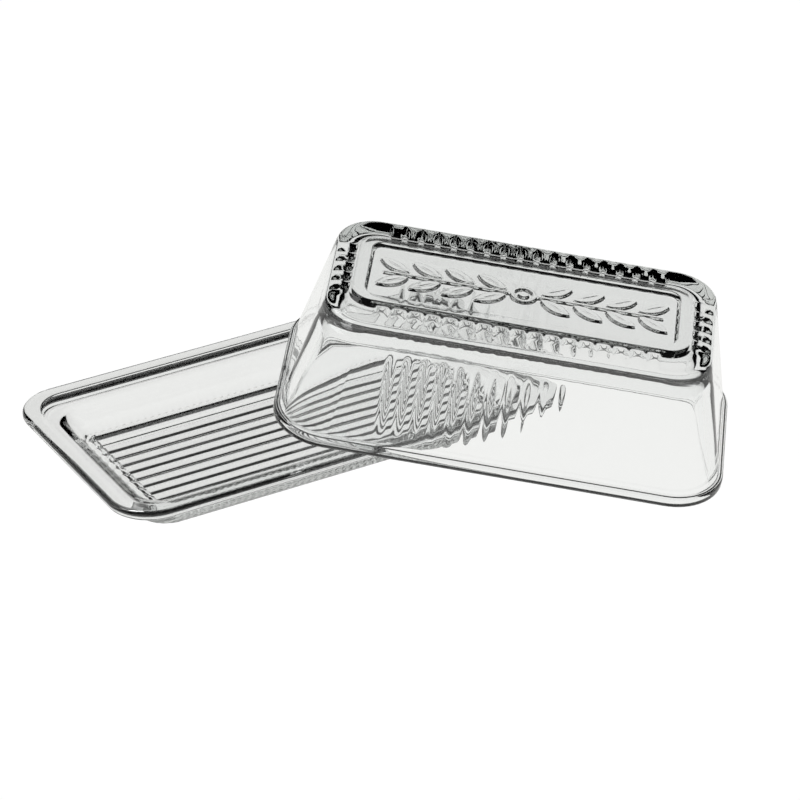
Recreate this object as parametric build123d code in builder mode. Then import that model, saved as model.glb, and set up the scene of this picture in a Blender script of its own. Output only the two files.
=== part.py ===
from build123d import *
import math
import os

# Pressed-glass butter dish: a tray and a box lid that leans on one corner of the tray.
# Millimetres, +Z up. The origin is the centre of the tray's flat base and +X runs along
# the tray, the way its floor ribs run.

# ---- tray sizes ----
tray_length = 204.0
tray_width = 110.0
tray_height = 19.0
tray_corner = 18.0
rim_edge_height = 4.5
rim_edge_round = 2.0
rim_width = 7.0
seat_depth = 3.0
seat_corner = 13.0
seat_width = 7.0
bowl_corner = 11.0
floor_thickness = 5.0
floor_inset = 21.5
floor_corner = 9.0
floor_round = 3.0
base_inset = 18.0
base_corner = 13.0
neck_inset = 12.5
neck_corner = 13.5
base_round = 0.8

# ---- ribs on the tray's floor ----
rib_pitch = 6.1
rib_width = 5.2
rib_height = 0.7
rib_end_gap = 3.2

# ---- lid sizes, measured up from the plane of its open rim ----
seat_end_clearance = 4.5
seat_side_clearance = 2.0
lid_corner = 22.5
lip_height = 4.8
lip_proud = 2.0
lip_round = 1.2
shoulder_height = 56.4
shoulder_in_long = 14.0
shoulder_in_short = 9.4
shoulder_corner = 16.7
shoulder_round = 3.2
wall_thickness = 4.2
rim_thickness = 5.0
ceiling_thickness = 5.2
ceiling_round = 4.0

# ---- raised panel on the lid ----
shoulder_band_short = 10.2
shoulder_band_long = 14.0
panel_corner = 8.0
panel_rise = 1.8
panel_round = 1.0
border_width = 4.5
border_depth = 1.8
border_corner = 5.0

# ---- scalloped shoulder round the panel ----
scallop_pitch = 6.7
scallop_width = 6.0
scallop_height = 0.8
scallop_gap = 0.9

# ---- leaf garland embossed on the panel ----
leaf_spacing = 13.0
leaf_length = 12.0
leaf_half_width = 2.8
leaf_tilt = 28.0
leaf_out = 5.2
stem_width = 1.2
bud_radius = 3.0
emboss_height = 0.9

# ---- how the lid leans on the tray ----
glass_gap = 0.3
lean_heading = 17.9
front_contact_share = -0.28
back_contact_share = 0.051

# ---- heights and outlines worked out from the sizes above ----
rim_underside = tray_height - rim_edge_height
seat_height = tray_height - seat_depth
bowl_inset = rim_width + seat_width
floor_length = tray_length - 2 * floor_inset
floor_width = tray_width - 2 * floor_inset
rib_count = 2 * int((floor_width / 2 - floor_round - rib_width / 2) / rib_pitch) + 1

# the closed lid stands on the ledge, inside the rim, so its size comes from the tray's
lid_length = tray_length - 2 * rim_width - 2 * seat_end_clearance
lid_width = tray_width - 2 * rim_width - 2 * seat_side_clearance
shoulder_length = lid_length - 2 * shoulder_in_long
shoulder_width = lid_width - 2 * shoulder_in_short
panel_length = shoulder_length - 2 * shoulder_band_short
panel_width = shoulder_width - 2 * shoulder_band_long
panel_top = shoulder_height + panel_rise
panel_field = panel_top - border_depth
cavity_height = shoulder_height - ceiling_thickness
scallops_long = 2 * int((shoulder_length / 2 - shoulder_corner) / scallop_pitch) + 1
scallops_short = 2 * int((shoulder_width / 2 - shoulder_corner) / scallop_pitch) + 1
leaf_pairs = int((panel_length / 2 - border_width - leaf_length / 2) / leaf_spacing)
front_contact_along = front_contact_share * lid_length
back_contact_along = back_contact_share * lid_length


def lean_plane():
    """The plane of the lid's rim. The inner edge of the rim rests on the tray's rim at two
    points, and the lid's far front corner comes down to what the dish stands on."""
    contact_width = lid_width - 2 * rim_thickness
    contact_step = back_contact_along - front_contact_along
    contact_reach = math.hypot(contact_step, contact_width)
    heading = math.radians(lean_heading)
    end_contact = Vector(
        tray_length / 2 - rim_edge_round,
        -tray_width / 2 + rim_edge_round + contact_reach * math.sin(heading),
        tray_height + glass_gap,
    )
    ridge = Vector(math.cos(heading), math.sin(heading), 0)
    front_contact = end_contact - ridge * contact_reach

    # the ridge's angle in the rim plane, and the unit vector in that plane at right angles
    # to it, in the lid's own length and width directions
    ridge_angle = math.atan2(contact_width, contact_step)
    down_x, down_y = math.sin(ridge_angle), -math.cos(ridge_angle)
    far_x = lid_length / 2 - lid_corner
    far_y = lid_width / 2 - lid_corner
    farthest = far_x * abs(down_x) + far_y * abs(down_y) + lid_corner
    ridge_offset = front_contact_along * down_x + (rim_thickness - lid_width / 2) * down_y
    lean = math.asin(tray_height / (farthest - ridge_offset))

    level_down = ridge.cross(Vector(0, 0, 1))
    down = level_down * math.cos(lean) - Vector(0, 0, 1) * math.sin(lean)
    normal = down.cross(ridge)
    along = ridge * math.cos(ridge_angle) + down * math.sin(ridge_angle)
    across = normal.cross(along)
    centre = (
        front_contact
        - along * front_contact_along
        - across * (rim_thickness - lid_width / 2)
    )
    return Plane(origin=centre, x_dir=along, z_dir=normal)


lid_rim = lean_plane()
lid_up = Axis(lid_rim.origin, lid_rim.z_dir)

# ---- tray ----
with BuildPart() as tray:
    # flat rim with a rounded edge
    with BuildSketch(Plane.XY.offset(rim_underside)):
        RectangleRounded(tray_length, tray_width, tray_corner)
    extrude(amount=rim_edge_height)
    fillet(tray.faces().filter_by(Axis.Z).edges(), radius=rim_edge_round)

    # foot, narrowing down from the neck under the rim to the flat base
    with BuildSketch(Plane.XY):
        RectangleRounded(tray_length - 2 * base_inset, tray_width - 2 * base_inset, base_corner)
    with BuildSketch(Plane.XY.offset(rim_underside)):
        RectangleRounded(tray_length - 2 * neck_inset, tray_width - 2 * neck_inset, neck_corner)
    loft(ruled=True)
    fillet(tray.faces().sort_by(Axis.Z)[0].edges(), radius=base_round)

    # step down to the ledge that the closed lid stands on
    with BuildSketch(Plane.XY.offset(seat_height)):
        RectangleRounded(tray_length - 2 * rim_width, tray_width - 2 * rim_width, seat_corner)
    extrude(amount=seat_depth, mode=Mode.SUBTRACT)

    # bowl
    with BuildSketch(Plane.XY.offset(seat_height)):
        RectangleRounded(tray_length - 2 * bowl_inset, tray_width - 2 * bowl_inset, bowl_corner)
    with BuildSketch(Plane.XY.offset(floor_thickness)):
        RectangleRounded(floor_length, floor_width, floor_corner)
    loft(ruled=True, mode=Mode.SUBTRACT)
    bowl_floor = tray.faces().filter_by_position(Axis.Z, floor_thickness / 2, floor_thickness * 1.5)
    fillet(bowl_floor.filter_by(Axis.Z).edges(), radius=floor_round)

    # ribs along the floor
    rib_length = floor_length - 2 * rib_end_gap
    with BuildSketch(Plane.YZ.offset(-rib_length / 2)):
        with Locations((0, floor_thickness)):
            with GridLocations(rib_pitch, 0, rib_count, 1):
                Ellipse(rib_width / 2, rib_height)
    extrude(amount=rib_length)

tray.part.label = "tray"

# ---- lid ----
with BuildPart() as lid:
    # lip round the open rim
    with BuildSketch(lid_rim):
        RectangleRounded(lid_length, lid_width, lid_corner)
    extrude(amount=lip_height)
    fillet(lid.edges().group_by(lid_up)[0], radius=lip_round)
    fillet(lid.edges().group_by(lid_up)[-1], radius=lip_round)

    # sloping walls up to the shoulder
    with BuildSketch(lid_rim.offset(lip_height / 2)):
        RectangleRounded(lid_length - 2 * lip_proud, lid_width - 2 * lip_proud, lid_corner - lip_proud)
    with BuildSketch(lid_rim.offset(shoulder_height)):
        RectangleRounded(shoulder_length, shoulder_width, shoulder_corner)
    loft(ruled=True)
    fillet(lid.faces().sort_by(lid_up)[-1].edges(), radius=shoulder_round)

    # raised panel with a narrow border
    with BuildSketch(lid_rim.offset(shoulder_height)):
        RectangleRounded(panel_length, panel_width, panel_corner)
    extrude(amount=panel_rise)
    fillet(lid.faces().sort_by(lid_up)[-1].edges(), radius=panel_round)
    with BuildSketch(lid_rim.offset(panel_field)):
        RectangleRounded(panel_length - 2 * border_width, panel_width - 2 * border_width, border_corner)
    extrude(amount=border_depth, mode=Mode.SUBTRACT)

    # scallops along the long and the short sides of the shoulder
    long_run = (shoulder_width - panel_width) / 2 - shoulder_round - 2 * scallop_gap
    short_run = (shoulder_length - panel_length) / 2 - shoulder_round - 2 * scallop_gap
    for side in (-1, 1):
        long_start = lid_rim.from_local_coords(
            Vector(0, side * (panel_width / 2 + scallop_gap), shoulder_height)
        )
        with BuildSketch(Plane(long_start, x_dir=lid_rim.x_dir, z_dir=lid_rim.y_dir * side)):
            with GridLocations(scallop_pitch, 0, scallops_long, 1):
                Ellipse(scallop_width / 2, scallop_height)
        extrude(amount=long_run)
        short_start = lid_rim.from_local_coords(
            Vector(side * (panel_length / 2 + scallop_gap), 0, shoulder_height)
        )
        with BuildSketch(Plane(short_start, x_dir=lid_rim.y_dir, z_dir=lid_rim.x_dir * side)):
            with GridLocations(scallop_pitch, 0, scallops_short, 1):
                Ellipse(scallop_width / 2, scallop_height)
        extrude(amount=short_run)

    # garland of leaf pairs on each side of a bud
    with BuildSketch(lid_rim.offset(panel_field)):
        Circle(bud_radius)
        Rectangle(2 * leaf_spacing * (leaf_pairs + 0.5), stem_width)
        for side in (-1, 1):
            for step in range(1, leaf_pairs + 1):
                for row in (-1, 1):
                    with Locations(
                        Location(
                            (side * leaf_spacing * step, row * leaf_out, 0),
                            (0, 0, side * row * leaf_tilt),
                        )
                    ):
                        Ellipse(leaf_length / 2, leaf_half_width)
    extrude(amount=emboss_height)

    # inside of the box
    with BuildSketch(lid_rim):
        RectangleRounded(
            lid_length - 2 * rim_thickness, lid_width - 2 * rim_thickness, lid_corner - rim_thickness
        )
    with BuildSketch(lid_rim.offset(cavity_height)):
        RectangleRounded(
            shoulder_length - 2 * wall_thickness,
            shoulder_width - 2 * wall_thickness,
            shoulder_corner - wall_thickness,
        )
    loft(ruled=True, mode=Mode.SUBTRACT)
    ceiling = lid.faces().filter_by(
        lambda face: abs(lid_rim.to_local_coords(face.center()).Z - cavity_height) < 0.01
    )
    fillet(ceiling.edges(), radius=ceiling_round)

lid.part.label = "lid"

os.makedirs("parts", exist_ok=True)
export_step(tray.part, "parts/tray.step")
export_step(lid.part, "parts/lid.step")
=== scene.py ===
import math

import bmesh
import bpy
import numpy as np
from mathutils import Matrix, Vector


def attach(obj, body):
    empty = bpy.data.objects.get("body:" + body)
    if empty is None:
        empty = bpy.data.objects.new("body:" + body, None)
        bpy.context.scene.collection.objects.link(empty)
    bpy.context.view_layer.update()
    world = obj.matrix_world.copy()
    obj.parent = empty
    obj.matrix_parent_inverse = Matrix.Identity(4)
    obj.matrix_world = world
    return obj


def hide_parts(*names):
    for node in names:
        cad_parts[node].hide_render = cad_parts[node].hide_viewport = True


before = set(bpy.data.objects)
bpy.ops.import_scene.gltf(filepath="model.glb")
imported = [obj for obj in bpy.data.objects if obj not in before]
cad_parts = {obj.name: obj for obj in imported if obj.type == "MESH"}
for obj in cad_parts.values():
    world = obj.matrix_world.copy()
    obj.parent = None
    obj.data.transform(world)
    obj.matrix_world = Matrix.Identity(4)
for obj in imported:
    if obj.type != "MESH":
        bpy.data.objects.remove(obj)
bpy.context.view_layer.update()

bl_info = {
    "name": "Pressed-glass butter dish",
    "version": (1, 0, 0),
    "blender": (4, 5, 0),
    "location": "View3D > Sidebar > Butter dish",
    "description": "Builds a clear pressed-glass butter dish, ribbed tray and box lid, on a pale stage",
    "category": "Object",
}

MM = 0.001


def length(name, millimetres, description):
    """A size property given in millimetres and kept in metres."""
    return bpy.props.FloatProperty(
        name=name, description=description, default=millimetres * MM, unit="LENGTH", precision=5
    )


def share(name, value, description, low=0.0, high=1.0):
    """A plain number property."""
    return bpy.props.FloatProperty(name=name, description=description, default=value, min=low, max=high)


def colour(name, value, description):
    """A colour property."""
    return bpy.props.FloatVectorProperty(
        name=name, description=description, default=value, size=3, subtype="COLOR", min=0.0, max=1.0
    )


class TraySizes(bpy.types.PropertyGroup):
    """Sizes of the tray"""

    length: length("Length", 204.0, "Outer length of the rim")
    width: length("Width", 110.0, "Outer width of the rim")
    height: length("Height", 19.0, "Height of the rim's flat top")
    corner: length("Rim corner", 18.0, "Corner radius of the rim's outline")
    edge_height: length("Rim edge", 4.5, "Thickness of the rim at its edge")
    edge_round: length("Edge round", 2.0, "Rounding of the rim's outer edge")
    rim_width: length("Rim width", 7.0, "Width of the flat rim")
    seat_depth: length("Seat depth", 3.0, "Step down from the rim to the lid's ledge")
    seat_corner: length("Seat corner", 13.0, "Corner radius of the step")
    seat_width: length("Seat width", 7.0, "Width of the ledge that the closed lid stands on")
    bowl_corner: length("Bowl corner", 11.0, "Corner radius at the top of the bowl")
    floor_height: length("Floor height", 5.0, "Thickness of the glass under the floor")
    floor_inset: length("Floor inset", 21.5, "From the rim's edge to the floor's edge")
    floor_corner: length("Floor corner", 9.0, "Corner radius of the floor")
    base_inset: length("Base inset", 18.0, "From the rim's edge to the base's edge")
    base_corner: length("Base corner", 13.0, "Corner radius of the base")
    neck_inset: length("Neck inset", 12.5, "From the rim's edge to the wall under the rim")
    neck_corner: length("Neck corner", 13.5, "Corner radius of the wall under the rim")
    rib_pitch: length("Rib pitch", 6.1, "Spacing of the broad ribs along the floor")
    rib_height: length("Rib height", 1.0, "Height of a rib above the grooves beside it")
    rib_edge: length("Rib edge", 32.5, "From the floor's middle line to where the ribs have run out")
    foot_flute_pitch: length("Foot flute pitch", 3.2, "Spacing of the fine flutes round the foot")
    foot_flute_depth: length("Foot flute depth", 0.45, "Depth of the fine flutes round the foot")
    foot_flute_top: length("Foot flute top", 5.0, "Height at which the fine flutes have run out")


class LidSizes(bpy.types.PropertyGroup):
    """Sizes of the lid, heights being measured from the plane of its open rim"""

    length: length("Length", 181.0, "Outer length of the rim")
    width: length("Width", 92.0, "Outer width of the rim")
    corner: length("Rim corner", 22.5, "Corner radius of the rim's outline")
    lip_height: length("Lip height", 4.8, "Height of the lip")
    lip_proud: length("Lip proud", 2.0, "How far the lip stands out from the wall")
    lip_round: length("Lip round", 1.6, "Rounding of the lip's edges")
    rim_thickness: length("Rim thickness", 5.0, "Glass at the rim, lip and wall together")
    wall_thickness: length("Wall thickness", 4.2, "Glass at the top of the wall")
    shoulder_height: length("Shoulder height", 56.4, "Height of the shoulder")
    shoulder_length: length("Shoulder length", 153.0, "Length over the shoulder")
    shoulder_width: length("Shoulder width", 73.2, "Width over the shoulder")
    shoulder_corner: length("Shoulder corner", 16.7, "Corner radius of the shoulder")
    ceiling_thickness: length("Ceiling thickness", 5.2, "Glass under the shoulder")
    ceiling_round: length("Ceiling round", 9.0, "How far the rounding between wall and ceiling reaches")
    panel_length: length("Panel length", 132.6, "Length of the raised panel")
    panel_width: length("Panel width", 45.2, "Width of the raised panel")
    panel_corner: length("Panel corner", 8.0, "Corner radius of the raised panel")
    panel_rise: length("Panel rise", 1.8, "Height of the panel above the shoulder")
    border_width: length("Border width", 4.5, "Width of the panel's border")
    border_depth: length("Border depth", 1.8, "How far the field lies below the border")
    scallop_pitch: length("Scallop pitch", 6.7, "Spacing of the scallops on the shoulder")
    scallop_height: length("Scallop height", 1.2, "Height of a scallop")
    ridge_height: length("Ridge height", 0.5, "Height of the narrow ridges inside the long walls")
    ridge_start: length("Ridge start", -52.0, "Where along the lid the narrow ridges begin")
    emboss_height: length("Emboss height", 1.0, "Height of the leaf garland on the panel")


class LeanSizes(bpy.types.PropertyGroup):
    """How the lid leans on the tray"""

    gap: length("Glass gap", 0.3, "Gap kept between the two glasses")
    heading: bpy.props.FloatProperty(
        name="Heading", description="Direction of the line through the two places where the lid rests",
        default=math.radians(17.9), subtype="ANGLE",
    )
    front_along: length("Front contact", -50.7, "Where the lid's front edge rests, along the lid")
    back_along: length("Back contact", 9.2, "Where the lid's back edge rests, along the lid")


class GlassLook(bpy.types.PropertyGroup):
    """Finish of the pressed glass"""

    tint: colour("Tint", (0.985, 0.99, 0.988), "Colour of clear glass")
    cloud_tint: colour("Cloud tint", (0.965, 0.972, 0.975), "Colour where the glass is a little greyer")
    body_colour: colour("Body colour", (0.55, 0.58, 0.56), "What the glass lets through in the thick")
    body_density: share("Body density", 12.0, "How fast glass darkens with depth, per metre", 0.0, 200.0)
    index: share("Index", 1.52, "Refractive index", 1.0, 2.0)
    roughness: share("Roughness", 0.004, "Roughness of fire-polished faces")
    mould_roughness: share("Mould roughness", 0.02, "Roughness where the mould has left its skin")
    wave_strength: share("Wave strength", 0.22, "Strength of the slow waves left by pressing")
    grain_strength: share("Grain strength", 0.05, "Strength of the fine mould grain")


class StageLook(bpy.types.PropertyGroup):
    """Floor, light and camera"""

    floor_size: length("Floor size", 1800.0, "Side of the floor")
    floor_colour: colour("Floor colour", (0.03, 0.03, 0.03), "Colour of the floor where lit from above")
    floor_glow: share("Floor glow", 1.0, "Strength of the light that the floor gives off", 0.0, 2.0)
    # painted shade: the floor's glow as seen through the glass, greyer than the white the camera sees
    # directly
    floor_in_glass_painted_shade: colour("Floor in the glass", (0.90, 0.90, 0.885), "Floor as seen through glass")
    room_front: share("Room in front", 0.09, "Light from the room on the camera's side", 0.0, 2.0)
    room_back: share("Room behind", 0.0, "Light from the wall behind the dish", 0.0, 2.0)
    room_skirt: share("Low wall", 0.9, "Light from the pale wall low down round the room", 0.0, 2.0)
    room_zenith: share("Room overhead", 0.03, "Light from straight above", 0.0, 2.0)
    heading: bpy.props.FloatProperty(
        name="Camera heading", description="Camera's heading, turned from +Y towards +X",
        default=math.radians(30.2), subtype="ANGLE",
    )
    elevation: bpy.props.FloatProperty(
        name="Camera elevation", description="Angle of the view below level",
        default=math.radians(29.9), subtype="ANGLE",
    )
    distance: length("Camera distance", 1524.0, "From the camera to the point it looks at")
    lens: bpy.props.FloatProperty(
        name="Lens", description="Focal length in millimetres", default=170.2, min=10.0, max=400.0
    )
    aim: bpy.props.FloatVectorProperty(
        name="Aim", description="Point that the camera looks at", default=(0.0335, -0.0273, 0.020),
        size=3, subtype="XYZ",
    )


# ---- outlines and lofted meshes ----

# how finely a ring is divided along its long sides, its short sides and its corners, and how
# many steps round off a bend in the section
LONG_STEPS = 232
SHORT_STEPS = 92
CORNER_STEPS = 16
BEND_STEPS = 6

# points closer than this are one point, and edges shorter than this are none
MERGE_DISTANCE = 2e-6
SHORTEST_EDGE = 1e-7

# a height below SLACK counts as none, and a point is on a straight side where its normal
# points more than STRAIGHT_SIDE of the way along one axis
SLACK = 0.05 * MM
STRAIGHT_SIDE = 0.99


def outline(half_x, half_y, corner):
    """Points and outward normals round a rounded rectangle, from the front end of its right
    side anticlockwise."""
    flat_x, flat_y = half_x - corner, half_y - corner
    points, normals = [], []

    def side(start, end, steps, normal):
        for k in range(steps):
            share_done = k / steps
            points.append(
                (start[0] + (end[0] - start[0]) * share_done, start[1] + (end[1] - start[1]) * share_done)
            )
            normals.append(normal)

    def bend(centre, first_angle):
        for k in range(CORNER_STEPS):
            angle = first_angle + math.pi / 2 * k / CORNER_STEPS
            normal = (math.cos(angle), math.sin(angle))
            points.append((centre[0] + corner * normal[0], centre[1] + corner * normal[1]))
            normals.append(normal)

    side((half_x, -flat_y), (half_x, flat_y), SHORT_STEPS, (1, 0))
    bend((flat_x, flat_y), 0.0)
    side((flat_x, half_y), (-flat_x, half_y), LONG_STEPS, (0, 1))
    bend((-flat_x, flat_y), math.pi / 2)
    side((-half_x, flat_y), (-half_x, -flat_y), SHORT_STEPS, (-1, 0))
    bend((-flat_x, -flat_y), math.pi)
    side((-flat_x, -half_y), (flat_x, -half_y), LONG_STEPS, (0, -1))
    bend((flat_x, -flat_y), 1.5 * math.pi)
    return np.array(points), np.array(normals)


def rounded_path(stations):
    """A run of stations (half_x, half_y, corner, z, round) with each inner one rounded off.
    round is the length given up on each side of it."""
    stations = [np.array(s, dtype=float) for s in stations]
    path = [stations[0][:4]]
    for before, here, after in zip(stations, stations[1:], stations[2:]):
        cut = here[4]
        if cut <= 0:
            path.append(here[:4])
            continue
        back, ahead = before[:4] - here[:4], after[:4] - here[:4]
        start = here[:4] + back * cut / np.hypot(back[0], back[3])
        end = here[:4] + ahead * cut / np.hypot(ahead[0], ahead[3])
        for k in range(BEND_STEPS + 1):
            t = k / BEND_STEPS
            path.append((1 - t) ** 2 * start + 2 * t * (1 - t) * here[:4] + t**2 * end)
    path.append(stations[-1][:4])
    return path


def divided(path, longest):
    """The same path with its long straight runs divided."""
    out = [path[0]]
    for a, b in zip(path, path[1:]):
        pieces = max(1, math.ceil(np.hypot(b[0] - a[0], b[3] - a[3]) / longest))
        out += [a + (b - a) * k / pieces for k in range(1, pieces + 1)]
    return out


def smooth(value):
    """Smooth step from 0 to 1 as value goes from 0 to 1."""
    value = np.clip(value, 0.0, 1.0)
    return value * value * (3 - 2 * value)


def ring_points(station, relief):
    """One ring of the loft, moved along its normals and upwards by relief."""
    half_x, half_y, corner, z = station
    places, normals = outline(half_x, half_y, max(corner, 0.0))
    out, up = relief(places, normals, station)
    ring = np.empty((len(places), 3))
    ring[:, :2] = places + normals * np.reshape(out, (-1, 1))
    ring[:, 2] = z + up
    return ring


def cap_grid(half_x, half_y, z, relief):
    """A rectangular cap whose rim has the same points as a ring with square corners, raised by
    relief."""
    xs = np.linspace(-half_x, half_x, LONG_STEPS + 1)
    ys = np.linspace(-half_y, half_y, SHORT_STEPS + 1)
    grid_x, grid_y = np.meshgrid(xs, ys, indexing="ij")
    return np.stack([grid_x, grid_y, z + relief(grid_x, grid_y)], axis=-1)


def skin(name, rings, cap, flat_end, place=None):
    """A closed mesh from lofted rings. A flat face closes the ring numbered flat_end, and the
    grid cap closes the other end."""
    ring_length = len(rings[0])
    faces = []
    for level in range(len(rings) - 1):
        base, above = level * ring_length, (level + 1) * ring_length
        for k in range(ring_length):
            ahead = (k + 1) % ring_length
            faces.append((base + k, base + ahead, above + ahead, above + k))
    flat_start = (flat_end % len(rings)) * ring_length
    faces.append(tuple(range(flat_start, flat_start + ring_length)))
    start = len(rings) * ring_length
    rows, columns = cap.shape[:2]
    for i in range(rows - 1):
        for j in range(columns - 1):
            corner = start + i * columns + j
            faces.append((corner, corner + columns, corner + columns + 1, corner + 1))
    points = np.concatenate([*rings, cap.reshape(-1, 3)])
    if place is not None:
        points = points @ place[:3, :3].T + place[:3, 3]
    mesh = bpy.data.meshes.new(name)
    mesh.from_pydata(points.tolist(), [], faces)
    shell = bmesh.new()
    shell.from_mesh(mesh)
    bmesh.ops.remove_doubles(shell, verts=shell.verts, dist=MERGE_DISTANCE)
    bmesh.ops.dissolve_degenerate(shell, edges=shell.edges, dist=SHORTEST_EDGE)
    bmesh.ops.recalc_face_normals(shell, faces=shell.faces)
    open_edges = sum(not edge.is_manifold for edge in shell.edges)
    if open_edges:
        raise RuntimeError(f"{name} is open at {open_edges} edges")
    for face in shell.faces:
        face.smooth = True
    shell.to_mesh(mesh)
    shell.free()
    piece = bpy.data.objects.new(name, mesh)
    bpy.context.scene.collection.objects.link(piece)
    return piece


# ---- tray ----

# its section, from the base out round the rim and in to the floor
BASE_RING_INSET = 6 * MM
BASE_EDGE_INSET = 1.6 * MM
BASE_EDGE_CORNER = 1.2 * MM
BASE_ROUND = 1.0 * MM
NECK_ROUND = 1.6 * MM
RIM_UNDER_RISE = 0.5 * MM
LOWER_ROUND_SHARE = 0.9
STEP_TOP_SPREAD = 0.4 * MM
STEP_TOP_ROUND = 0.5 * MM
STEP_FOOT_SPREAD = 0.3 * MM
STEP_FOOT_ROUND = 2.2 * MM
LEDGE_MIDDLE_INSET = 3.6 * MM
LEDGE_MIDDLE_CORNER = 2.0 * MM
LEDGE_MIDDLE_DIP = 0.5 * MM
LEDGE_MIDDLE_ROUND = 1.0 * MM
LEDGE_EDGE_DIP = 0.6 * MM
BOWL_TOP_ROUND = 2.2 * MM
BOWL_FOOT_ROUND = 4.5 * MM
FLOOR_RING_INSET = 1.8 * MM
INNER_CORNER_SHARE = 0.55
RIB_PANEL_INSET = 3.4 * MM
TRAY_RING_SPACING = 2.2 * MM

# where the ribs and the fine flutes run out, and how square a rib's crest is
RIB_CREST_POWER = 3.5
RIB_END_INSET = 0.6 * MM
RIB_END_FADE = 1.4 * MM
RIB_SIDE_FADE = 1.5 * MM
RIB_ZONE_OUT = 3 * MM
FLUTE_ZONE_INSET = 0.2 * MM
FLUTE_FOOT_FADE = 0.8 * MM
FLUTE_TOP_FADE = 1.5 * MM


def tray_path(t):
    """Stations from the middle of the base, out round the rim and in to the floor."""

    def at(inset, corner, z, bend=0.0):
        return (t.length / 2 - inset, t.width / 2 - inset, corner, z, bend)

    rim_under = t.height - t.edge_height + RIM_UNDER_RISE
    seat = t.height - t.seat_depth
    step_top, step_foot = t.rim_width - STEP_TOP_SPREAD, t.rim_width + STEP_FOOT_SPREAD
    panel_half_x, panel_half_y = floor_panel(t)
    return [
        at(t.base_inset + BASE_RING_INSET, t.base_corner * INNER_CORNER_SHARE, 0.0),
        at(t.base_inset + BASE_EDGE_INSET, t.base_corner - BASE_EDGE_CORNER, 0.0),
        at(t.base_inset, t.base_corner, 0.0, BASE_ROUND),
        at(t.neck_inset, t.neck_corner, rim_under, NECK_ROUND),
        at(0.0, t.corner, rim_under, t.edge_round * LOWER_ROUND_SHARE),
        at(0.0, t.corner, t.height, t.edge_round),
        at(step_top, t.seat_corner + STEP_TOP_SPREAD, t.height, STEP_TOP_ROUND),
        at(step_foot, t.seat_corner - STEP_FOOT_SPREAD, seat + STEP_FOOT_SPREAD, STEP_FOOT_ROUND),
        at(t.rim_width + LEDGE_MIDDLE_INSET, t.seat_corner - LEDGE_MIDDLE_CORNER,
           seat - LEDGE_MIDDLE_DIP, LEDGE_MIDDLE_ROUND),
        at(t.rim_width + t.seat_width, t.bowl_corner, seat - LEDGE_EDGE_DIP, BOWL_TOP_ROUND),
        at(t.floor_inset, t.floor_corner, t.floor_height, BOWL_FOOT_ROUND),
        at(t.floor_inset + FLOOR_RING_INSET, t.floor_corner * INNER_CORNER_SHARE, t.floor_height),
        (panel_half_x, panel_half_y, 0.0, t.floor_height, 0.0),
    ]


def floor_panel(t):
    """Half-lengths of the rectangle of the floor that carries the ribs."""
    inset = t.floor_inset + RIB_PANEL_INSET
    return t.length / 2 - inset, t.width / 2 - inset


def floor_ribs(t, x, y):
    """Height of the broad ribs, which run along x."""
    across = 2 * (y / t.rib_pitch - np.round(y / t.rib_pitch))
    crest = 1 - np.abs(across) ** RIB_CREST_POWER
    rib_end = t.length / 2 - t.floor_inset - RIB_END_INSET
    fade = smooth((rib_end - np.abs(x)) / RIB_END_FADE) * smooth((t.rib_edge - np.abs(y)) / RIB_SIDE_FADE)
    return t.rib_height * crest * fade


def foot_flutes(t, places, z):
    """Depth of the fine upright flutes round the foot at height z."""
    along = arc_length(places)
    count = round(along[-1] / t.foot_flute_pitch)
    wave = 0.5 - 0.5 * np.cos(2 * math.pi * count * along[:-1] / along[-1])
    fade = smooth(z / FLUTE_FOOT_FADE) * smooth((t.foot_flute_top - z) / FLUTE_TOP_FADE)
    return t.foot_flute_depth * wave * fade


def arc_length(places):
    """Distance round a closed outline to each of its points, and at last all the way round."""
    steps = np.hypot(*(np.roll(places, -1, axis=0) - places).T)
    return np.concatenate([[0.0], np.cumsum(steps)])


class DISH_OT_tray(bpy.types.Operator):
    """Build the ribbed tray in clear glass"""

    bl_idname = "dish.tray"
    bl_label = "Tray"

    def execute(self, context):
        t = context.scene.tray_sizes
        foot_edge = t.length / 2 - t.base_inset - FLUTE_ZONE_INSET
        floor_edge = t.length / 2 - t.floor_inset + RIB_ZONE_OUT

        def relief(places, normals, station):
            half_x, half_y, corner, z = station
            if half_x > foot_edge and SLACK < z < t.foot_flute_top:
                return -foot_flutes(t, places, z), 0.0
            if half_x < floor_edge and z > t.floor_height - SLACK:
                return 0.0, floor_ribs(t, *places.T)
            return 0.0, 0.0

        path = divided(rounded_path(tray_path(t)), TRAY_RING_SPACING)
        rings = [ring_points(station, relief) for station in path]
        cap = cap_grid(*floor_panel(t), t.floor_height, lambda x, y: floor_ribs(t, x, y))
        tray = skin("glass_tray", rings, cap, flat_end=0)
        tray.data.materials.append(pressed_glass("tray_glass_finish", context.scene.glass_look))
        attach(tray, "tray")
        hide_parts("tray")
        return {"FINISHED"}


# ---- lid ----

# its section, from the panel's field out over the shoulder, round the rim and up inside
FIELD_GRID_INSET = 1.6 * MM
FIELD_EDGE_INSET = 0.9 * MM
FIELD_EDGE_CORNER = 4.2 * MM
FIELD_EDGE_ROUND = 0.25 * MM
BORDER_EDGE_OUT = 0.4 * MM
BORDER_EDGE_CORNER = 5.4 * MM
BORDER_EDGE_ROUND = 0.3 * MM
PANEL_ROUND = 0.9 * MM
PANEL_FOOT_OUT = 1.4 * MM
PANEL_FOOT_RISE = 0.4 * MM
PANEL_FOOT_ROUND = 1.0 * MM
SHOULDER_RISE = 0.1 * MM
SHOULDER_ROUND = 2.3 * MM
WALL_FOOT_ROUND = 1.2 * MM
LIP_SLOPE = 0.3 * MM
RIM_INNER_ROUND = 0.8 * MM
CEILING_RING_INSET = 18 * MM
CEILING_RING_CORNER = 6.0 * MM
LID_RING_SPACING = 2.0 * MM

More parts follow.
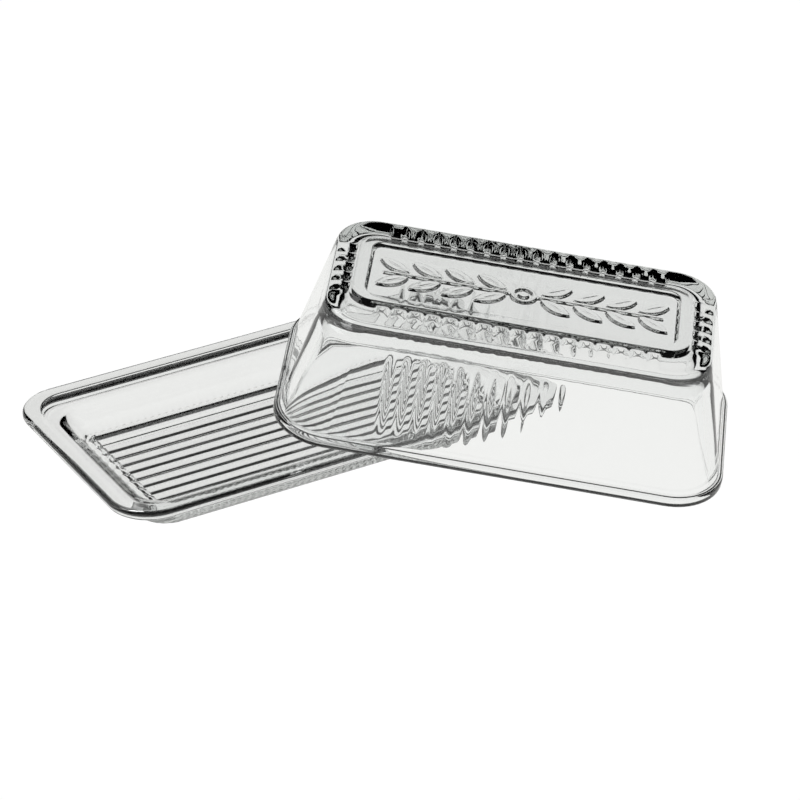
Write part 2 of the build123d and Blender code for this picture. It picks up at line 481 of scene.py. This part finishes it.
# scallops on the shoulder: their reach across it, and the run of them in pitches from the
# middle of a side
SCALLOP_EDGE_INSET = 1.0 * MM
SCALLOP_RUN_LONG = 8.5
SCALLOP_RUN_SHORT = 3.0
SCALLOP_END_FADE = 1.2 * MM
SCALLOP_POWER = 0.8
SCALLOP_SINK = 0.4
SCALLOP_INNER_FADE = 0.12
SCALLOP_OUTER_END = 0.97
SCALLOP_OUTER_FADE = 0.22
SHOULDER_ZONE = 6 * MM

# narrow ridges inside the long walls, which grow weaker along the lid
RIDGE_SHARE = 0.5
RIDGE_END = 8 * MM
RIDGE_FADE_POWER = 0.5
RIDGE_START_FADE = 3 * MM
RIDGE_STOP_FADE = 4 * MM
RIDGE_WEAKENING = 0.55
RIDGE_WEAKENING_START = -20 * MM
RIDGE_WEAKENING_RUN = 60 * MM

# leaf garland
LEAF_PAIRS = 4
LEAF_SPACING = 13 * MM
LEAF_OUT = 5.4 * MM
LEAF_LENGTH = 14.5 * MM
LEAF_HALF_WIDTH = 3.3 * MM
LEAF_TILT = math.radians(32)
LEAF_POINT_POWER = 0.8
VEIN_DEPTH = 0.45
VEIN_HALF_WIDTH = 0.35 * MM
STEM_HALF_WIDTH = 1.1 * MM
STEM_HALF_LENGTH = 56 * MM
BUD_RADIUS = 2.4 * MM
BUD_RING_INNER = 3.8 * MM
BUD_RING_OUTER = 5.6 * MM
BUD_CLEARANCE = 0.2 * MM
EMBOSS_EDGE = 0.5 * MM


def lean_matrix(t, lid, lean):
    """Where the lid's rim plane lies: its rim's inner edge rests on the tray's rim at two
    points, and its far front corner comes down to the table."""
    inset = lid.rim_thickness
    contact_width = lid.width - 2 * inset
    contact_step = lean.back_along - lean.front_along
    reach = math.hypot(contact_step, contact_width)
    end = Vector((
        t.length / 2 - t.edge_round,
        -t.width / 2 + t.edge_round + reach * math.sin(lean.heading),
        t.height + lean.gap,
    ))
    ridge = Vector((math.cos(lean.heading), math.sin(lean.heading), 0.0))
    front = end - ridge * reach
    ridge_angle = math.atan2(contact_width, contact_step)
    down_x, down_y = math.sin(ridge_angle), -math.cos(ridge_angle)
    far_x, far_y = lid.length / 2 - lid.corner, lid.width / 2 - lid.corner
    farthest = far_x * abs(down_x) + far_y * abs(down_y) + lid.corner
    offset = lean.front_along * down_x + (inset - lid.width / 2) * down_y
    angle = math.asin(t.height / (farthest - offset))
    up = Vector((0.0, 0.0, 1.0))
    down = ridge.cross(up) * math.cos(angle) - up * math.sin(angle)
    normal = down.cross(ridge)
    along = ridge * math.cos(ridge_angle) + down * math.sin(ridge_angle)
    across = normal.cross(along)
    centre = front - along * lean.front_along - across * (inset - lid.width / 2)
    place = np.eye(4)
    place[:3, 0], place[:3, 1], place[:3, 2], place[:3, 3] = along, across, normal, centre
    return place


def leaf(x, y, centre, tilt):
    """1 inside a pointed leaf, 0 outside, with a soft edge and a vein down its middle."""
    turn_x = (x - centre[0]) * math.cos(tilt) + (y - centre[1]) * math.sin(tilt)
    turn_y = -(x - centre[0]) * math.sin(tilt) + (y - centre[1]) * math.cos(tilt)
    along = np.clip(turn_x / (LEAF_LENGTH / 2), -1, 1)
    edge = LEAF_HALF_WIDTH * (1 - along**2) ** LEAF_POINT_POWER
    body = smooth((edge - np.abs(turn_y)) / EMBOSS_EDGE) * (np.abs(turn_x) < LEAF_LENGTH / 2)
    vein = VEIN_DEPTH * smooth(1 - np.abs(turn_y) / VEIN_HALF_WIDTH) * (1 - along**2)
    return body * (1 - vein)


def garland(x, y):
    """Leaf pairs on a stem, running both ways from a ringed bud in the middle."""
    shape = smooth((STEM_HALF_WIDTH - np.abs(y)) / EMBOSS_EDGE) * (np.abs(x) < STEM_HALF_LENGTH)
    for side in (-1, 1):
        for pair in range(1, LEAF_PAIRS + 1):
            for row in (-1, 1):
                centre = (side * pair * LEAF_SPACING, row * LEAF_OUT)
                shape = np.maximum(shape, leaf(x, y, centre, side * row * LEAF_TILT))
    radius = np.hypot(x, y)
    outer, inner, bud = (
        smooth((edge - radius) / EMBOSS_EDGE) for edge in (BUD_RING_OUTER, BUD_RING_INNER, BUD_RADIUS)
    )
    return np.where(radius < BUD_RING_OUTER + BUD_CLEARANCE, np.maximum(outer - inner, bud), shape)


def scallops(lid, places, normals, down):
    """Height of the scallops on the shoulder, where down goes from 0 at the panel's foot to 1
    at the shoulder's edge."""
    fade = smooth(down / SCALLOP_INNER_FADE) * smooth((SCALLOP_OUTER_END - down) / SCALLOP_OUTER_FADE)
    wave = 0.0
    for axis, run in ((0, SCALLOP_RUN_LONG), (1, SCALLOP_RUN_SHORT)):
        along = places[:, axis]
        on_side = np.abs(normals[:, 1 - axis]) > STRAIGHT_SIDE
        crest = np.abs(np.cos(math.pi * along / lid.scallop_pitch)) ** SCALLOP_POWER
        ends = smooth((run * lid.scallop_pitch - np.abs(along)) / SCALLOP_END_FADE)
        wave = wave + on_side * crest * ends
    return lid.scallop_height * (wave - SCALLOP_SINK) * fade


def wall_ridges(lid, places, normals, level):
    """Height of the narrow upright ridges inside the long walls, where level goes from 0 at
    their foot to 1 at their top."""
    x = places[:, 0]
    on_long = np.abs(normals[:, 1]) > STRAIGHT_SIDE
    across = 2 * (x / lid.scallop_pitch - np.round(x / lid.scallop_pitch))
    crest = np.clip(1 - (across / RIDGE_SHARE) ** 2, 0, 1)
    fade = math.sin(math.pi * level) ** RIDGE_FADE_POWER
    stop = SCALLOP_RUN_LONG * lid.scallop_pitch
    ends = smooth((x - lid.ridge_start) / RIDGE_START_FADE) * smooth((stop - x) / RIDGE_STOP_FADE)
    weaker = RIDGE_WEAKENING * smooth((x - RIDGE_WEAKENING_START) / RIDGE_WEAKENING_RUN)
    return lid.ridge_height * on_long * crest * fade * ends * (1 - weaker)


def lid_path(lid):
    """Stations from the panel's field out over the shoulder, down the wall, round the rim and
    up inside to the ceiling, and the half-lengths of the grid that fills the field."""
    panel_top = lid.shoulder_height + lid.panel_rise
    field = panel_top - lid.border_depth
    cavity = cavity_height(lid)
    rim = (lid.length / 2, lid.width / 2)
    shoulder = (lid.shoulder_length / 2, lid.shoulder_width / 2)
    panel = (lid.panel_length / 2, lid.panel_width / 2)
    inner = (panel[0] - lid.border_width, panel[1] - lid.border_width)

    def at(sides, out, corner, z, bend=0.0):
        return (sides[0] + out, sides[1] + out, corner, z, bend)

    stations = [
        at(inner, -FIELD_GRID_INSET, 0.0, field),
        at(inner, -FIELD_EDGE_INSET, FIELD_EDGE_CORNER, field, FIELD_EDGE_ROUND),
        at(inner, BORDER_EDGE_OUT, BORDER_EDGE_CORNER, panel_top, BORDER_EDGE_ROUND),
        at(panel, 0.0, lid.panel_corner, panel_top, PANEL_ROUND),
        at(panel, PANEL_FOOT_OUT, lid.panel_corner + PANEL_FOOT_OUT,
           lid.shoulder_height + PANEL_FOOT_RISE, PANEL_FOOT_ROUND),
        at(shoulder, 0.0, lid.shoulder_corner, lid.shoulder_height + SHOULDER_RISE, SHOULDER_ROUND),
        at(rim, -lid.lip_proud, lid.corner - lid.lip_proud, lid.lip_height, WALL_FOOT_ROUND),
        at(rim, 0.0, lid.corner, lid.lip_height - LIP_SLOPE, lid.lip_round * LOWER_ROUND_SHARE),
        at(rim, 0.0, lid.corner, 0.0, lid.lip_round),
        at(rim, -lid.rim_thickness, lid.corner - lid.rim_thickness, 0.0, RIM_INNER_ROUND),
        at(shoulder, -lid.wall_thickness, lid.shoulder_corner - lid.wall_thickness,
           cavity, lid.ceiling_round),
        at(shoulder, -CEILING_RING_INSET, CEILING_RING_CORNER, cavity),
    ]
    return stations, (inner[0] - FIELD_GRID_INSET, inner[1] - FIELD_GRID_INSET, field)


def cavity_height(lid):
    """Height of the ceiling above the rim."""
    return lid.shoulder_height - lid.ceiling_thickness


class DISH_OT_lid(bpy.types.Operator):
    """Build the scalloped box lid in clear glass"""

    bl_idname = "dish.lid"
    bl_label = "Lid"

    def execute(self, context):
        lid = context.scene.lid_sizes
        stations, field_grid = lid_path(lid)
        path = divided(rounded_path(stations), LID_RING_SPACING)
        turning = next(
            index for index, (half_x, _, _, z) in enumerate(path)
            if z < SLACK and half_x < lid.length / 2 - lid.rim_thickness / 2
        )
        scallop_start = lid.panel_length / 2 + PANEL_FOOT_OUT
        scallop_stop = lid.shoulder_length / 2 - SCALLOP_EDGE_INSET
        field_edge = field_grid[0] + FIELD_GRID_INSET
        ridge_top = cavity_height(lid) - RIDGE_END

        def emboss(x, y):
            return lid.emboss_height * garland(x, y)

        def outer_relief(places, normals, station):
            half_x, half_y, corner, z = station
            if half_x < field_edge:
                return 0.0, emboss(*places.T)
            if z > lid.shoulder_height - SHOULDER_ZONE and half_x > lid.panel_length / 2:
                down = (half_x - scallop_start) / (scallop_stop - scallop_start)
                return 0.0, scallops(lid, places, normals, down)
            return 0.0, 0.0

        def inner_relief(places, normals, station):
            z = station[3]
            if RIDGE_END < z < ridge_top:
                level = (z - RIDGE_END) / (ridge_top - RIDGE_END)
                return -wall_ridges(lid, places, normals, level), 0.0
            return 0.0, 0.0

        rings = [ring_points(station, outer_relief) for station in path[:turning]]
        rings += [ring_points(station, inner_relief) for station in path[turning:]]
        place = lean_matrix(context.scene.tray_sizes, lid, context.scene.lean_sizes)
        piece = skin("glass_lid", rings, cap_grid(*field_grid, emboss), -1, place)
        piece.data.materials.append(pressed_glass("lid_glass_finish", context.scene.glass_look))
        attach(piece, "lid")
        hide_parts("lid")
        return {"FINISHED"}


# ---- material ----

CLOUD_SCALE = 22.0
WAVE_SCALE = 55.0
WAVE_DEPTH = 0.4 * MM
GRAIN_SCALE = 900.0
GRAIN_DEPTH = 0.03 * MM
SHADOW_TINT = (0.97, 0.97, 0.97, 1.0)

# a Mix node's sockets for two colours, and its output for a colour
FIRST_COLOUR, SECOND_COLOUR, MIXED_COLOUR = 6, 7, 2


class Wire:
    """A socket that can be used in Python sums."""

    def __init__(self, shader, socket):
        self.shader = shader
        self.socket = socket

    def _sum(self, operation, first, second):
        return self.shader.add("ShaderNodeMath", {"operation": operation}, {0: first, 1: second})

    def __add__(self, other):
        return self._sum("ADD", self, other)

    def __mul__(self, other):
        return self._sum("MULTIPLY", self, other)

    __radd__ = __add__
    __rmul__ = __mul__


class Shader:
    """The nodes of one material or of the world."""

    def __init__(self, owner):
        owner.use_nodes = True
        self.tree = owner.node_tree
        self.tree.nodes.clear()

    def add(self, kind, settings=None, values=None, output=0):
        """Add a node, set its settings, then its sockets, and give back one of its outputs."""
        new = self.tree.nodes.new(kind)
        for key, value in (settings or {}).items():
            setattr(new, key, value)
        for key, value in (values or {}).items():
            if isinstance(value, Wire):
                self.tree.links.new(value.socket, new.inputs[key])
            else:
                new.inputs[key].default_value = value
        return Wire(self, new.outputs[output]) if new.outputs else None


def pressed_glass(name, look):
    """Clear pressed glass: slow waves, a fine mould grain and faint greyer clouds."""
    material = bpy.data.materials.new(name)
    shader = Shader(material)
    place = shader.add("ShaderNodeTexCoord", output="Object")
    clouds = shader.add("ShaderNodeTexNoise", {}, {"Vector": place, "Scale": CLOUD_SCALE, "Detail": 2.0})
    waves = shader.add("ShaderNodeTexNoise", {}, {"Vector": place, "Scale": WAVE_SCALE, "Detail": 1.0})
    grain = shader.add("ShaderNodeTexNoise", {}, {"Vector": place, "Scale": GRAIN_SCALE, "Detail": 2.0})
    tone = shader.add(
        "ShaderNodeMix", {"data_type": "RGBA"},
        {0: clouds, FIRST_COLOUR: (*look.tint, 1.0), SECOND_COLOUR: (*look.cloud_tint, 1.0)},
        output=MIXED_COLOUR,
    )
    roughness = look.roughness + clouds * grain * (look.mould_roughness - look.roughness)
    slow = shader.add(
        "ShaderNodeBump", {}, {"Strength": look.wave_strength, "Distance": WAVE_DEPTH, "Height": waves}
    )
    fine = shader.add(
        "ShaderNodeBump", {},
        {"Strength": look.grain_strength, "Distance": GRAIN_DEPTH, "Height": grain, "Normal": slow},
    )
    glass = shader.add(
        "ShaderNodeBsdfPrincipled", {"distribution": "GGX"},
        {"Base Color": tone, "Roughness": roughness, "IOR": look.index, "Transmission Weight": 1.0,
         "Normal": fine},
    )
    clear = shader.add("ShaderNodeBsdfTransparent", {}, {"Color": SHADOW_TINT})
    shadow = shader.add("ShaderNodeLightPath", output="Is Shadow Ray")
    mixed = shader.add("ShaderNodeMixShader", {}, {0: shadow, 1: glass, 2: clear})
    body = shader.add(
        "ShaderNodeVolumeAbsorption", {},
        {"Color": (*look.body_colour, 1.0), "Density": look.body_density},
    )
    shader.add("ShaderNodeOutputMaterial", {}, {"Surface": mixed, "Volume": body})
    return material


# ---- stage ----

WHITE = (1.0, 1.0, 1.0, 1.0)
FLOOR_GAP = 0.3 * MM
FLOOR_ROUGHNESS = 0.9
SOFTBOX_PLACE = Vector((-0.5, 0.5, 1.3))
SOFTBOX_SIZE = (0.9, 0.5)
SOFTBOX_POWER = 3.0
BACKDROP_STRENGTH = 2.0


def softbox(aim):
    """A soft rectangular light that hangs over the dish and looks at aim."""
    data = bpy.data.lights.new("overhead_softbox", "AREA")
    data.shape = "RECTANGLE"
    data.size, data.size_y = SOFTBOX_SIZE
    data.energy = SOFTBOX_POWER
    lamp = bpy.data.objects.new("overhead_softbox", data)
    lamp.location = aim + SOFTBOX_PLACE
    lamp.rotation_euler = (-SOFTBOX_PLACE).to_track_quat("-Z", "Y").to_euler()
    bpy.context.scene.collection.objects.link(lamp)


def pale_floor(look):
    """A floor that gives off its own light, with painted shade: its glow is a little greyer where it is
    seen through glass.
    """
    half = look.floor_size / 2
    corners = [(-half, -half), (half, -half), (half, half), (-half, half)]
    mesh = bpy.data.meshes.new("floor")
    mesh.from_pydata([(x, y, -FLOOR_GAP) for x, y in corners], [], [(0, 1, 2, 3)])
    floor = bpy.data.objects.new("floor", mesh)
    bpy.context.scene.collection.objects.link(floor)
    material = bpy.data.materials.new("pale_floor")
    shader = Shader(material)
    seen = shader.add("ShaderNodeLightPath", output="Is Camera Ray")
    # painted shade: rays that come through the glass see the floor's glow greyer, while the camera sees
    # it white
    tone = shader.add(
        "ShaderNodeMix", {"data_type": "RGBA"},
        {0: seen, FIRST_COLOUR: (*look.floor_in_glass_painted_shade, 1.0), SECOND_COLOUR: WHITE},
        output=MIXED_COLOUR,
    )
    surface = shader.add(
        "ShaderNodeBsdfPrincipled", {},
        {"Base Color": (*look.floor_colour, 1.0), "Roughness": FLOOR_ROUGHNESS,
         "Emission Color": tone, "Emission Strength": look.floor_glow},
    )
    shader.add("ShaderNodeOutputMaterial", {}, {"Surface": surface})
    mesh.materials.append(material)


class DISH_OT_stage(bpy.types.Operator):
    """Lay the pale floor, hang the softbox and set up the camera"""

    bl_idname = "dish.stage"
    bl_label = "Stage"

    def execute(self, context):
        scene = context.scene
        look = scene.stage_look
        pale_floor(look)
        softbox(Vector(look.aim))
        sky(scene, look)
        camera(scene, look)
        scene.view_settings.view_transform = "Standard"
        scene.cycles.max_bounces = 14
        scene.cycles.transmission_bounces = 14
        scene.cycles.glossy_bounces = 5
        scene.cycles.transparent_max_bounces = 24
        scene.cycles.caustics_reflective = False
        scene.cycles.caustics_refractive = True
        scene.cycles.use_denoising = True
        return {"FINISHED"}


def sky(scene, look):
    """A dim room with a pale wall low down and a dark card standing behind the dish. They show
    only in the glass, because the camera itself sees a white backdrop."""
    world = bpy.data.worlds.new("studio_room")
    scene.world = world
    shader = Shader(world)
    direction = shader.add("ShaderNodeTexCoord", output="Generated")
    side, depth, rise = (
        shader.add("ShaderNodeSeparateXYZ", {}, {0: direction}, output=axis) for axis in range(3)
    )
    behind = side * math.sin(look.heading) + depth * math.cos(look.heading)
    ease = {"interpolation_type": "SMOOTHSTEP"}
    pale = shader.add("ShaderNodeMapRange", ease, {
        "Value": behind, "From Min": -0.3, "From Max": 0.6,
        "To Min": look.room_front, "To Max": look.room_back})
    overhead = shader.add("ShaderNodeMapRange", ease, {
        "Value": rise, "From Min": 0.80, "From Max": 0.98, "To Min": 0.0, "To Max": look.room_zenith})
    skirt = shader.add("ShaderNodeMapRange", ease, {
        "Value": rise, "From Min": 0.05, "From Max": 0.16, "To Min": look.room_skirt, "To Max": 0.0})
    card = shader.add("ShaderNodeMapRange", ease, {
        "Value": behind, "From Min": 0.88, "From Max": 0.97, "To Min": 1.0, "To Max": 0.0})
    seen = shader.add("ShaderNodeLightPath", output="Is Camera Ray")
    strength = pale + overhead + skirt * card + seen * BACKDROP_STRENGTH
    background = shader.add("ShaderNodeBackground", {}, {"Color": WHITE, "Strength": strength})
    shader.add("ShaderNodeOutputWorld", {}, {"Surface": background})


def camera(scene, look):
    """A long lens that looks down on the dish over its front left corner."""
    data = bpy.data.cameras.new("camera")
    data.lens = look.lens
    data.sensor_width = 36.0
    data.clip_start = 0.05
    data.clip_end = 30.0
    eye = bpy.data.objects.new("camera", data)
    towards = Vector((
        math.sin(look.heading) * math.cos(look.elevation),
        math.cos(look.heading) * math.cos(look.elevation),
        -math.sin(look.elevation),
    ))
    eye.location = Vector(look.aim) - towards * look.distance
    eye.rotation_euler = towards.to_track_quat("-Z", "Y").to_euler()
    scene.collection.objects.link(eye)
    scene.camera = eye


# ---- panel and registration ----


class DISH_PT_panel(bpy.types.Panel):
    """Buttons that build the butter dish"""

    bl_idname = "DISH_PT_panel"
    bl_label = "Butter dish"
    bl_space_type = "VIEW_3D"
    bl_region_type = "UI"
    bl_category = "Butter dish"

    def draw(self, context):
        for operator in STEPS:
            self.layout.operator(operator.bl_idname)


STEPS = (DISH_OT_tray, DISH_OT_lid, DISH_OT_stage)
GROUPS = {
    "tray_sizes": TraySizes,
    "lid_sizes": LidSizes,
    "lean_sizes": LeanSizes,
    "glass_look": GlassLook,
    "stage_look": StageLook,
}


def register():
    """Add the sizes, the operators and the panel to the program"""
    for group in GROUPS.values():
        bpy.utils.register_class(group)
    for name, group in GROUPS.items():
        setattr(bpy.types.Scene, name, bpy.props.PointerProperty(type=group))
    for step in (*STEPS, DISH_PT_panel):
        bpy.utils.register_class(step)


def unregister():
    """Take them all away again"""
    for step in (DISH_PT_panel, *reversed(STEPS)):
        bpy.utils.unregister_class(step)
    for name in GROUPS:
        delattr(bpy.types.Scene, name)
    for group in reversed(GROUPS.values()):
        bpy.utils.unregister_class(group)


def main():
    """Build the dish and its stage"""
    register()
    bpy.ops.dish.tray()
    bpy.ops.dish.lid()
    bpy.ops.dish.stage()


if __name__ == "__main__":
    main()
